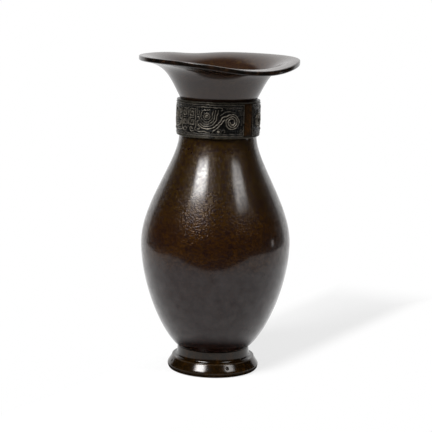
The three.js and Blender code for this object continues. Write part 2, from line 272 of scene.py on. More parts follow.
class Net:
    """Places nodes in a tree and joins them."""

    def __init__(self, tree: bpy.types.NodeTree) -> None:
        """Keeps the tree."""
        self.tree = tree

    def feed(self, socket: bpy.types.NodeSocket, value: Feed) -> None:
        """Joins a socket to another one, or sets its value.

        Args:
            socket: Input that is fed.
            value: A socket, or a plain value.
        """
        if isinstance(value, bpy.types.NodeSocket):
            self.tree.links.new(value, socket)
        else:
            socket.default_value = value

    def add(self, kind: str, feeds: dict[str | int, Feed] | None = None, **options: Any) -> bpy.types.Node:
        """Places a node.

        Args:
            kind: Type of the node.
            feeds: What goes into each input.
            options: Settings of the node itself.

        Returns:
            The node.
        """
        node = self.tree.nodes.new(kind)
        for key, value in options.items():
            setattr(node, key, value)
        for key, value in (feeds or {}).items():
            self.feed(node.inputs[key], value)
        return node

    def math(self, operation: str, *values: Feed) -> bpy.types.NodeSocket:
        """Result of a sum on one to three values."""
        return self.add("ShaderNodeMath", dict(enumerate(values)), operation=operation).outputs[0]

    def product(self, *values: Feed) -> bpy.types.NodeSocket:
        """Product of two or more values."""
        return reduce(partial(self.math, "MULTIPLY"), values)

    def total(self, *values: Feed) -> bpy.types.NodeSocket:
        """Sum of two or more values."""
        return reduce(partial(self.math, "ADD"), values)

    def blend(self, share: Feed, first: Feed, second: Feed) -> bpy.types.NodeSocket:
        """Colour between two colours."""
        return self.add("ShaderNodeMix", {0: share, 6: first, 7: second}, data_type="RGBA").outputs[2]

    def between(self, share: Feed, first: Feed, second: Feed) -> bpy.types.NodeSocket:
        """Value between two values."""
        return self.add("ShaderNodeMix", {0: share, 2: first, 3: second}, data_type="FLOAT").outputs[0]

    def ease(self, value: Feed, low: float, high: float) -> bpy.types.NodeSocket:
        """Value mapped smoothly from low..high to 0..1."""
        feeds = {"Value": value, "From Min": low, "From Max": high}
        return self.add("ShaderNodeMapRange", feeds, interpolation_type="SMOOTHSTEP").outputs["Result"]

    def off_middle(self, value: Feed) -> bpy.types.NodeSocket:
        """Distance of a value from one half."""
        return self.math("ABSOLUTE", self.math("SUBTRACT", value, 0.5))

    def parts(self, vector: Feed) -> bpy.types.bpy_prop_collection:
        """The three parts of a vector."""
        return self.add("ShaderNodeSeparateXYZ", {0: vector}).outputs

    def wear(self) -> bpy.types.NodeSocket:
        """Wear of the piece; on the mouth it marks the lip's edge that takes painted shade."""
        return self.add("ShaderNodeAttribute", attribute_name="wear").outputs["Fac"]

    def place(self, stretch: Triple | None = None) -> bpy.types.NodeSocket:
        """Place on the piece.

        Args:
            stretch: Scale of each direction, or none.

        Returns:
            The place, stretched if asked.
        """
        place = self.add("ShaderNodeTexCoord").outputs["Object"]
        if stretch is None:
            return place
        return self.add("ShaderNodeMapping", {"Vector": place, "Scale": stretch}).outputs[0]


@dataclass(frozen=True)
class Pattern:
    """A cloudy pattern over a piece.

    Attributes:
        scale: Clouds a metre.
        detail: Steps of finer clouds in each.
        roughness: Strength of the finer clouds.
        limits: Values that become 0 and 1, or none to leave them as they come.
        stretch: Scale of each direction, or none.
    """

    scale: float
    detail: float
    roughness: float = 0.55
    limits: Pair | None = None
    stretch: Triple | None = None

    def on(self, net: Net, scale: Feed = None) -> bpy.types.NodeSocket:
        """The pattern at each place of a piece.

        Args:
            net: Net of the material or group.
            scale: Clouds a metre in place of its own, or none.

        Returns:
            The value.
        """
        value = net.add("ShaderNodeTexNoise", {
            "Vector": net.place(self.stretch), "Scale": self.scale if scale is None else scale,
            "Detail": self.detail, "Roughness": self.roughness,
        }).outputs[0]
        return net.ease(value, *self.limits) if self.limits else value


# Patterns that the finishes share
TINT_CLOUDS = Pattern(scale=45.0, detail=6.0, roughness=0.7, limits=(0.1, 0.8))
RUNS = Pattern(scale=210.0, detail=4.0, limits=(0.44, 0.74), stretch=(1.0, 1.0, 0.07))
RUBBING = Pattern(scale=200.0, detail=3.0, roughness=0.6, limits=(0.25, 0.6))
CAST_GRAIN = Pattern(scale=860.0, detail=0.0)
SLOW_WAVES = Pattern(scale=62.0, detail=2.0, roughness=0.4, stretch=(1.0, 1.0, 0.6))
PATCH_BORDER = Pattern(scale=70.0, detail=2.0)
WAX_CLOUDS = Pattern(scale=110.0, detail=3.0, roughness=0.6)


def fresh_net(owner: bpy.types.Material | bpy.types.World | bpy.types.Light) -> Net:
    """The emptied node tree of a material, world or lamp.

    Args:
        owner: What the nodes belong to.

    Returns:
        The net of its nodes.
    """
    owner.use_nodes = True
    owner.node_tree.nodes.clear()
    return Net(owner.node_tree)


def colour(tint: Tint) -> tuple[float, float, float, float]:
    """Linear colour of a screen tint.

    Args:
        tint: Red, green and blue from 0 to 255.

    Returns:
        The colour, opaque.
    """
    shares = [part / 255 for part in tint]
    linear = [share / 12.92 if share <= 0.04045 else ((share + 0.055) / 1.055) ** 2.4 for share in shares]
    return (*linear, 1.0)


def new_group(
    name: str, takes: dict[str, str], gives: dict[str, str],
) -> tuple[Net, bpy.types.Node, bpy.types.Node]:
    """An empty shader group with its sockets.

    Args:
        name: Name of the group.
        takes: Input names with their socket types.
        gives: Output names with their socket types.

    Returns:
        The net of its nodes, its input node and its output node.
    """
    tree = bpy.data.node_groups.new(name, "ShaderNodeTree")
    for sockets, way in ((takes, "INPUT"), (gives, "OUTPUT")):
        for label, kind in sockets.items():
            tree.interface.new_socket(label, in_out=way, socket_type=f"NodeSocket{kind}")
    net = Net(tree)
    return net, net.add("NodeGroupInput"), net.add("NodeGroupOutput")


@cache
def clouded_patina() -> bpy.types.NodeTree:
    """Group: three tints clouded over each other, with runs and fine specks, and painted shade that darkens
    it near the foot.

    The tone is the mean of specks and clouds.

    Returns:
        The group, made once.
    """
    takes = dict.fromkeys(("Dark", "Mid", "Light"), "Color")
    takes |= dict.fromkeys(("Clouds", "Runs", "Painted Foot Shade", "Pale"), "Float")
    gives = {"Color": "Color", "Tone": "Float", "Speck": "Float"}
    net, inner, outer = new_group("clouded_patina", takes, gives)
    given = inner.outputs
    place = net.place()
    climb = net.parts(place)[2]
    cloud = TINT_CLOUDS.on(net, given["Clouds"])
    cells = net.add("ShaderNodeTexVoronoi", {"Vector": place, "Scale": SPECK_SCALE}).outputs["Color"]
    speck = net.ease(net.add("ShaderNodeSeparateColor", {0: cells}).outputs[0], *SPECK_LIMITS)
    strength = net.math("MULTIPLY_ADD", cloud, 1.0 - RUN_LEAST, RUN_LEAST)
    lit = net.product(RUNS.on(net), given["Runs"], strength)
    upper = net.product(net.ease(climb, *PALE_RISE), given["Pale"])
    # Painted shade: the colour sinks to the darkest tint towards the foot, and the specks fade there
    painted_shade = net.product(net.ease(climb, *FOOT_SHADE), given["Painted Foot Shade"])
    shade = net.blend(cloud, given["Dark"], given["Mid"])
    shade = net.blend(net.math("MAXIMUM", lit, upper), shade, given["Light"])
    shade = net.blend(net.product(speck, SPECK_SHARE), shade, given["Dark"])
    net.feed(outer.inputs["Color"], net.blend(painted_shade, shade, given["Dark"]))
    net.feed(outer.inputs["Speck"], net.product(speck, net.math("SUBTRACT", 1.0, painted_shade)))
    net.feed(outer.inputs["Tone"], net.math("MULTIPLY_ADD", speck, 0.5, net.product(cloud, 0.5)))
    return net.tree


@cache
def waxed_skin() -> bpy.types.NodeTree:
    """Group: height of the skin in millimetres, from cast grain, pits, wiping ripples and slow waves.

    Returns:
        The group, made once.
    """
    labels = ("Grain", "Pits", "Ripple", "Wave")
    net, inner, outer = new_group("waxed_skin", dict.fromkeys(labels, "Float"), {"Height": "Float"})
    place = net.place()
    cells = net.add("ShaderNodeTexVoronoi", {"Vector": place, "Scale": PIT_SCALE}).outputs
    depth = net.ease(net.add("ShaderNodeSeparateColor", {0: cells["Color"]}).outputs[0], 0.0, 1.0)
    holes = net.product(net.math("SUBTRACT", net.ease(cells["Distance"], 0.0, PIT_REACH), 1.0), depth)
    bands = net.add("ShaderNodeTexWave", {
        "Vector": place, "Scale": RIPPLE_SCALE, "Distortion": 5.0, "Detail": 2.0, "Detail Scale": 0.6,
    }, bands_direction="Z").outputs["Fac"]
    layers = zip((CAST_GRAIN.on(net), holes, bands, SLOW_WAVES.on(net)), labels)
    parts = [net.product(layer, inner.outputs[label]) for layer, label in layers]
    net.feed(outer.inputs["Height"], net.total(*parts))
    return net.tree


@cache
def rubbed_metal_and_painted_edge() -> bpy.types.NodeTree:
    """Group: bare metal showing through the patina where the piece's wear says so; on the mouth the same tint
    is a near-black painted shade along the lip's edge.

    Returns:
        The group, made once.
    """
    takes = {"Color": "Color", "Bare And Painted Edge": "Color", "Rub And Painted Edge": "Float"}
    net, inner, outer = new_group("rubbed_metal_and_painted_edge", takes, {"Color": "Color", "Bare And Painted Share": "Float"})
    given = inner.outputs
    bare_and_painted_share = net.product(net.wear(), RUBBING.on(net), given["Rub And Painted Edge"])
    net.feed(outer.inputs["Color"], net.blend(bare_and_painted_share, given["Color"], given["Bare And Painted Edge"]))
    net.feed(outer.inputs["Bare And Painted Share"], bare_and_painted_share)
    return net.tree


@dataclass(frozen=True)
class Finish:
    """A waxed patina.

    Attributes:
        slot: The record's material slot.
        dark: Darkest tint, from 0 to 255.
        mid: Tint of the clouds.
        light: Tint of the runs and of the wall above the belly.
        bare_and_painted_edge: Tint of rubbed places; on the mouth, a near-black painted shade along the lip's
            edge.
        clouds: Clouds a metre.
        runs: Strength of the runs.
        gloss: Roughness of the darkest and of the lightest tone.
        grain: Depth of the cast grain in millimetres.
        pits: Depth of the casting pits in millimetres.
        ripple: Depth of the wiping ripples in millimetres.
        wave: Depth of the slow waves in millimetres.
        rub_and_painted_edge: How much of the rubbed tint shows on worn edges, and how much of the mouth's
            painted shade shows on its lip's edge.
        metal: Metallic share of the patina.
        fret: Depth of a fine squared ground in millimetres.
        ior: Refraction of the patina, which sets how strongly it mirrors.
        wax: Share of the smooth coat of wax over the patina.
        wax_rough: Roughness of that coat.
        shine: Metallic share that rubbed places add.
        painted_foot_shade_and_smoothing: How far the patina is darkened towards the foot as painted shade,
            and how far its grain is smoothed there.
        pale: How far the lightest tint takes over above the belly.
    """

    slot: str
    dark: Tint
    mid: Tint
    light: Tint
    bare_and_painted_edge: Tint
    clouds: float = TINT_CLOUDS.scale
    runs: float = 0.5
    gloss: Pair = (0.14, 0.22)
    grain: float = 0.08
    pits: float = 0.012
    ripple: float = 0.004
    wave: float = 0.05
    rub_and_painted_edge: float = 0.5
    metal: float = 0.2
    fret: float = 0.0
    ior: float = 1.5
    wax: float = 0.0
    wax_rough: float = 0.12
    shine: float = 0.6
    painted_foot_shade_and_smoothing: float = 0.0
    pale: float = 0.0

    def coat(self, net: Net, speck: bpy.types.NodeSocket) -> bpy.types.NodeSocket:
        """Share of wax: thin on the specks, and on a patch of the belly that hands have rubbed dull.

        Args:
            net: Net of the material.
            speck: Strength of the specks.

        Returns:
            The share at each place.
        """
        gap = net.add("ShaderNodeVectorMath", {0: net.place(), 1: DULL_PATCH}, operation="DISTANCE")
        border = net.math("MULTIPLY_ADD", PATCH_BORDER.on(net), PATCH_WAVER, gap.outputs["Value"])
        whole = net.between(net.ease(border, *PATCH_EDGE), PATCH_WAX * self.wax, self.wax)
        cloudy = net.math("MULTIPLY_ADD", WAX_CLOUDS.on(net), WAX_MORE, WAX_LEAST)
        return net.product(whole, cloudy, net.math("MULTIPLY_ADD", speck, -SPECK_BARE, 1.0))

    def squared_ground(self, net: Net) -> bpy.types.NodeSocket:
        """Height of nested squares in rows, from the larger distance to the middle of each cell.

        Args:
            net: Net of the material.

        Returns:
            The height at each place, none on worn ridges.
        """
        spot = net.add("ShaderNodeUVMap", uv_map="face").outputs[0]
        cells = net.parts(net.add("ShaderNodeMapping", {"Vector": spot, "Scale": FRET_CELLS}).outputs[0])
        sides = [net.off_middle(net.math("FRACT", cells[way])) for way in (0, 1)]
        rings = net.math("SINE", net.product(net.math("MAXIMUM", *sides), FRET_RINGS))
        return net.product(rings, net.product(net.ease(net.wear(), *FRET_WEAR), self.fret))

    def height(self, net: Net) -> bpy.types.NodeSocket:
        """Height of the skin, with its grain smoothed towards the foot.

        Args:
            net: Net of the material.

        Returns:
            The height at each place, in millimetres.
        """
        grain = self.grain
        if self.painted_foot_shade_and_smoothing:
            smooth = net.product(net.ease(net.parts(net.place())[2], *FOOT_SHADE), self.painted_foot_shade_and_smoothing)
            grain = net.between(smooth, self.grain, 0.0)
        height = net.add("ShaderNodeGroup", {
            "Grain": grain, "Pits": self.pits, "Ripple": self.ripple, "Wave": self.wave,
        }, node_tree=waxed_skin()).outputs["Height"]
        return net.total(height, self.squared_ground(net)) if self.fret else height

    def material(self) -> bpy.types.Material:
        """The finish as a material.

        Returns:
            A material of that slot's name, made once.
        """
        made = bpy.data.materials.get(f"finish_{self.slot}")
        if made is not None:
            return made
        made = bpy.data.materials.new(f"finish_{self.slot}")
        net = fresh_net(made)
        patina = net.add("ShaderNodeGroup", {
            "Dark": colour(self.dark), "Mid": colour(self.mid), "Light": colour(self.light),
            "Clouds": self.clouds, "Runs": self.runs, "Painted Foot Shade": self.painted_foot_shade_and_smoothing, "Pale": self.pale,
        }, node_tree=clouded_patina()).outputs
        rubbed = net.add("ShaderNodeGroup", {
            "Color": patina["Color"], "Bare And Painted Edge": colour(self.bare_and_painted_edge), "Rub And Painted Edge": self.rub_and_painted_edge,
        }, node_tree=rubbed_metal_and_painted_edge()).outputs
        metal = self.metal
        if self.shine:
            metal = net.math("MULTIPLY_ADD", rubbed["Bare And Painted Share"], self.shine, self.metal)
        bump = net.add("ShaderNodeBump", {"Strength": 1.0, "Distance": MM, "Height": self.height(net)})
        shader = net.add("ShaderNodeBsdfPrincipled", {
            "Base Color": rubbed["Color"],
            "Roughness": net.between(patina["Tone"], *self.gloss),
            "Metallic": metal,
            "IOR": self.ior,
            "Coat Weight": self.coat(net, patina["Speck"]) if self.wax else 0.0,
            "Coat Roughness": self.wax_rough,
            "Normal": bump.outputs[0],
        })
        net.feed(net.add("ShaderNodeOutputMaterial").inputs["Surface"], shader.outputs[0])
        return made


class Patina(Enum):
    """The finishes of the vase."""

    # The body's patina takes painted shade towards the foot
    BODY = Finish(
        "patina_body", dark=(20, 8, 8), mid=(53, 30, 0), light=(38, 27, 4), bare_and_painted_edge=(110, 84, 50),
        gloss=(0.19, 0.28), runs=0.2, grain=0.36, pits=0.04, ior=1.2, wax=0.68, painted_foot_shade_and_smoothing=0.85, pale=0.8)
    # The mouth's rubbed tint is near-black: painted shade along the lip's edge, where the edge mirrors dark
    # surroundings
    MOUTH = Finish(
        "patina_mouth", dark=(31, 17, 13), mid=(50, 33, 17), light=(72, 55, 28), bare_and_painted_edge=(8, 6, 4),
        runs=0.3, grain=0.01, pits=0.006, wave=0.035, rub_and_painted_edge=1.0, ior=1.58, shine=0.0)
    COLLAR = Finish(
        "patina_collar", dark=(6, 6, 5), mid=(15, 14, 11), light=(26, 23, 17), bare_and_painted_edge=(84, 79, 68),
        gloss=(0.24, 0.38), pits=0.03, wave=0.08, rub_and_painted_edge=0.6, metal=0.0, ior=1.25)
    RELIEF = Finish(
        "patina_relief", dark=(4, 4, 3), mid=(10, 9, 8), light=(20, 18, 15), bare_and_painted_edge=(122, 115, 104),
        gloss=(0.2, 0.34), pits=0.02, ripple=0.0, wave=0.04, rub_and_painted_edge=0.9, metal=0.0, fret=0.05, ior=1.2)
    BAR = Finish(
        "patina_bar", dark=(20, 10, 1), mid=(54, 32, 7), light=(66, 41, 12), bare_and_painted_edge=(104, 76, 40),
        clouds=120.0, runs=0.9, gloss=(0.4, 0.55), pits=0.03, rub_and_painted_edge=0.2, metal=0.0, ior=1.15)
    FOOT = Finish(
        "patina_foot", dark=(12, 6, 1), mid=(26, 14, 1), light=(60, 35, 5), bare_and_painted_edge=(110, 84, 50),
        gloss=(0.1, 0.16), grain=0.01, pits=0.006, wave=0.02, rub_and_painted_edge=0.15, ior=1.44)
    PLATE = Finish(
        "patina_plate", dark=(20, 15, 9), mid=(36, 27, 17), light=(58, 44, 28), bare_and_painted_edge=(90, 72, 46),
        gloss=(0.4, 0.6), pits=0.04)
    PIN = Finish(
        "patina_pin", dark=(12, 9, 6), mid=(22, 16, 10), light=(34, 26, 16), bare_and_painted_edge=(90, 72, 48),
        gloss=(0.3, 0.5), pits=0.02, shine=0.0)


def set_piece(piece: bpy.types.Object, node: str, patina: Patina) -> None:
    """Dresses a piece and sets it in place of a CAD node.

    Args:
        piece: The finished piece.
        node: Name of the CAD node that it stands for.
        patina: Its finish.
    """
    piece.data.materials.append(patina.value.material())
    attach(piece, "root")
    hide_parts(node)
    log.info("%s: %d faces, %s", piece.name, len(piece.data.polygons), patina.value.slot)


# The vase

@dataclass
class Pin:
    """A round pin along the radius, domed at its outer end.

    Attributes:
        radius: Half the pin's thickness.
        inner: Distance of its inner end from the axis.
        outer: Distance of its outer end from the axis.
        height: Height of its middle line.
        dome: Length of the rounded end.
        bow: Angle of the dome's last circle in radians, short of the pole, which a cap closes.
        rings: Number of circles on the dome.
        bevel: Length of the bevel at the inner end.
        blunt: Share of the radius that the inner end keeps.
        sides: Number of sides.
    """

    radius: float
    inner: float
    outer: float
    height: float
    dome: float = 0.5
    bow: float = 1.45
    rings: int = 9
    bevel: float = 0.3
    blunt: float = 0.7
    sides: int = 32

    def build(self, name: str, turn: float) -> bpy.types.Object:
        """Circles carried along the pin, bevelled inside and drawn in as a quarter ellipse outside.

        Args:
            name: Name of the piece.
            turn: Turn about the axis, in degrees.

        Returns:
            The pin.
        """
        bow = np.linspace(0.0, self.bow, self.rings)
        width = self.radius * np.concatenate([[self.blunt, 1.0], np.cos(bow)])
        dome = self.outer + self.dome * (np.sin(bow) - 1)
        along = np.concatenate([[self.inner, self.inner + self.bevel], dome])
        spin = full_turn(self.sides)
        way = math.radians(turn)
        out, across = np.array([math.cos(way), math.sin(way)]), np.array([-math.sin(way), math.cos(way)])
        flat = along[:, None, None] * out + (width[:, None] * np.cos(spin))[..., None] * across
        loops = np.concatenate([flat, (self.height + width[:, None] * np.sin(spin))[..., None]], axis=-1)
        return loft(name, loops, np.zeros((len(along), 1)), ring=False)


@dataclass
class Foot:
    """Ring foot with its cove, bead and swelling skirt, the plate let in from below and its pins.

    Attributes:
        top: Radius under the body.
        ledge: Radius of the bead.
        widest: Radius of the skirt's swell.
        contact: Radius of the standing ring.
        height: Height of the foot.
        skirt: Height of the bead.
        swell: Height of the skirt's widest place.
        bead: Radius of the bead's round.
        roll: Length of the handle at the standing ring.
        roll_share: Share of the swell's height at which its lower handle ends.
        skirt_shares: Shares of the skirt's rise, reach and rise again at which its handles end.
        cove_share: Share of the cove's width and height that its handles take.
        cove_lean: Reach of the cove's upper handle past its top.
        tenon: Radius of the bore for the body's tenon.
        plate: Radius of the base plate.
        plate_low: Height of the plate's underside.
        plate_high: Height of the plate's top.
        plate_round: Rounding of the plate's edges and of the recess at the floor.
        plate_hollow: Depth of the hollow under the plate.
        plate_lift: Height of the underside's edge over its corner.
        plate_ring: Distance of the top's first ring from its edge.
        plate_middle: Radius of the flat middles that close the plate.
        pin_turns: Turns of the pins about the axis, in degrees.
        pin_height: Height of the pins.
        pin_radius: Half a pin's thickness.
        pin_depth: How far a pin reaches into the plate.
        pin_sunk: How far a pin's end lies under the skirt.
        pit: Depth of the hollow round a pin's end.
        pit_reach: Radius of that hollow.
        pit_power: Power that rounds it.
        sharpest: Bends at which the edges of the ring and of the plate are fully worn.
        columns: Steps of the ring and of the plate round the axis.
    """

    top: float = 34.3
    ledge: float = 39.3
    widest: float = 43.7
    contact: float = 41.0
    height: float = 22.0
    skirt: float = 12.0
    swell: float = 4.2
    bead: float = 0.6
    roll: float = 1.82
    roll_share: float = 0.4
    skirt_shares: Triple = (0.15, 0.54, 0.505)
    cove_share: float = 0.94
    cove_lean: float = 0.8
    tenon: float = 31.0
    plate: float = 35.1
    plate_low: float = 6.0
    plate_high: float = 11.0
    plate_round: float = 0.6
    plate_hollow: float = 0.4
    plate_lift: float = 0.02
    plate_ring: float = 1.0
    plate_middle: float = 1.0
    pin_turns: tuple[float, ...] = (-70.5, 19.5, 109.5, 199.5)
    pin_height: float = 8.5
    pin_radius: float = 1.2
    pin_depth: float = 7.0
    pin_sunk: float = 0.38
    pit: float = 0.5
    pit_reach: float = 1.7
    pit_power: float = 1.5
    sharpest: Pair = (1.2, 1.5)
    columns: tuple[int, int] = (600, 160)

    def outside(self) -> np.ndarray:
        """Outline in cubic curves from the standing ring over the skirt, round the bead's arc to the cove.

        Returns:
            Points, as radius and height.
        """
        rise = self.skirt - self.swell
        reach = self.widest - self.ledge
        swell = (self.widest, self.swell)
        low = (self.ledge + self.bead / 2, self.skirt - self.bead)
        spin = np.linspace(-np.pi / 4, np.pi / 2, 13)
        bead = np.stack([self.ledge - self.bead / 2 + self.bead * np.cos(spin),
                         self.skirt + self.bead * np.sin(spin)], axis=1)
        end = tuple(bead[-1])
        cove = self.height - self.skirt
        first, out, down = self.skirt_shares
        return chain(
            curve((self.contact, 0.0), (self.contact + self.roll, 0.0),
                  (self.widest, self.roll_share * self.swell), swell, steps=14),
            curve(swell, (self.widest, self.swell + first * rise),
                  (low[0] + out * reach, low[1] - down * rise), low, steps=30),
            bead,
            curve(end, (end[0] - self.cove_share * (self.ledge - self.top), end[1]),
                  (self.top + self.cove_lean, self.height - self.cove_share * cove),
                  (self.top, self.height), steps=28),
        )

    def ring(self) -> bpy.types.Object:
        """Outline turned about the axis, sunk round each pin by a bell of the distance to it.

        Returns:
            The foot ring.
        """
        recess, roof, edge = self.plate + FIT, self.plate_high + FIT, self.plate_round
        outside = self.outside()
        outline = chain(outside, (self.tenon, self.height), (self.tenon, roof), (recess, roof),
                        (recess, edge), (recess + edge, 0.0))
        way = full_turn(self.columns[0])
        loops = turned(outline, len(way))
        radius = outline[:, :1]
        outer = (np.arange(len(outline)) < len(outside))[:, None]
        for place in self.pin_turns:
            away = np.angle(np.exp(1j * (way - math.radians(place)))) * radius
            gap = np.hypot(away, outline[:, 1:] - self.pin_height) / self.pit_reach
            sink = outer * self.pit * np.clip(1 - gap**2, 0.0, 1.0) ** self.pit_power
            loops[..., :2] *= (1 - sink / radius)[..., None]
        return loft("foot_ring", loops, edge_wear(outline, self.sharpest[0])[:, None], ring=True)

    def cover(self) -> bpy.types.Object:
        """Rings between two flat middles: rounded edges, and an underside hollowed by a cosine of the radius.

        Returns:
            The base plate.
        """
        low, high, edge, turn = self.plate_low, self.plate_high, self.plate, self.plate_round
        under = np.linspace(self.plate_middle, edge - turn, 30)
        over = np.linspace(edge - self.plate_ring, self.plate_middle, 12)
        outline = chain(
            np.stack([under, low + self.plate_hollow * np.cos(0.5 * np.pi * under / edge)], axis=1),
            rounded((edge - turn, low + self.plate_lift), (edge, low), (edge, low + turn)),
            rounded((edge, high - turn), (edge, high), (edge - turn, high)),
            np.stack([over, np.full(len(over), high)], axis=1),
        )
        wear = edge_wear(outline, self.sharpest[1])[:, None]
        return loft("base_cover", turned(outline, self.columns[1]), wear, ring=False)

    def build(self) -> None:
        """Builds and dresses the foot, the plate and the pins."""
        set_piece(self.ring(), "foot", Patina.FOOT)
        set_piece(self.cover(), "base_plate", Patina.PLATE)
        outside = self.outside()
        skirt = outside[outside[:, 1] < self.skirt - self.bead]
        end = float(np.interp(self.pin_height, skirt[:, 1], skirt[:, 0])) - self.pin_sunk
        pin = Pin(self.pin_radius, self.plate - self.pin_depth, end, self.pin_height)
        for number, turn in enumerate(self.pin_turns, 1):
            set_piece(pin.build(f"base_peg_{number}", turn), f"base_pin_{number}", Patina.PIN)


@dataclass
class Body:
    """Swelling baluster with a tenon below and the neck seat above.

    Attributes:
        base: Radius at the foot.
        base_height: Height of the joint with the foot.
        flare: Outward lean of the wall at the foot, over its rise.
        base_handle: Length of the curve's handle at the foot.
        belly: Widest radius.
        belly_height: Height of the widest place.
        low_handle: Length of the handle under the belly.
        high_handle: Length of the handle over the belly.
        neck: Radius of the neck under the collar.
        neck_height: Height of the ledge that carries the collar.
        neck_handle: Length of the handle under the neck.
        wall: Thickness of the wall.
        seat: Radius of the neck inside the collar.
        socket: Radius of the bore for the mouth's spigot.
        socket_sunk: How far the socket's floor lies under the ledge.
        rim: Height of the neck's end.
        tenon: Radius of the tenon.
        tenon_wall: Thickness of the tenon's wall.
        tenon_foot: Height of the tenon's end.
        tenon_sunk: How far the tenon's bore ends under the joint with the foot.
        sharpest: Bend at which an edge is fully worn.
        columns: Steps round the axis.
    """

    base: float = 34.3
    base_height: float = 22.3
    flare: float = 1.27
    base_handle: float = 13.0
    belly: float = 71.1
    belly_height: float = 123.0
    low_handle: float = 39.5
    high_handle: float = 37.0
    neck: float = 36.6
    neck_height: float = 226.4
    neck_handle: float = 25.0
    wall: float = 3.3
    seat: float = 35.2
    socket: float = 33.3
    socket_sunk: float = 1.4
    rim: float = 258.2
    tenon: float = 30.7
    tenon_wall: float = 3.0
    tenon_foot: float = 11.3
    tenon_sunk: float = 1.5
    sharpest: float = 2.5
    columns: int = 320

    def outline(self) -> np.ndarray:
        """Closed outline: two cubic curves outside, the seat and socket, and the wall's inside.

        Returns:
            Points, as radius and height.
        """
        belly = (self.belly, self.belly_height)
        outside = chain(
            curve((self.base, self.base_height),
                  (self.base + self.base_handle * self.flare, self.base_height + self.base_handle),
                  (self.belly, self.belly_height - self.low_handle), belly, steps=70),
            curve(belly, (self.belly, self.belly_height + self.high_handle),
                  (self.neck, self.neck_height - self.neck_handle), (self.neck, self.neck_height),
                  steps=80),
        )
        # The inside leaves room for the tenon and the socket, and takes every third point
        inside = inset(outside, self.wall)[4:-12:3][::-1]
        bore = self.tenon - self.tenon_wall
        return chain(
            outside, (self.seat, self.neck_height), (self.seat, self.rim), (self.socket, self.rim),
            (self.socket, self.neck_height - self.socket_sunk), inside,
            (bore, self.base_height - self.tenon_sunk), (bore, self.tenon_foot),
            (self.tenon, self.tenon_foot), (self.tenon, self.base_height),
        )

    def build(self) -> None:
        """Turns the outline about the axis and dresses it."""
        outline = self.outline()
        wear = edge_wear(outline, self.sharpest)[:, None]
        piece = loft("vase_body", turned(outline, self.columns), wear, ring=True)
        set_piece(piece, "body", Patina.BODY)


@dataclass
class Dip:
    """A hollow in the lip.

    Attributes:
        depth: How far the lip falls.
        turn: Where, in degrees about the axis.
        spread: Half width of its bell, in degrees.
    """

    depth: float
    turn: float
    spread: float

    def fall(self, turn: np.ndarray) -> np.ndarray:
        """Fall at each turn: the depth times a bell of the angle to the hollow."""
        away = np.degrees(np.angle(np.exp(1j * (turn - math.radians(self.turn)))))
        return self.depth * np.exp(-0.5 * (away / self.spread) ** 2)


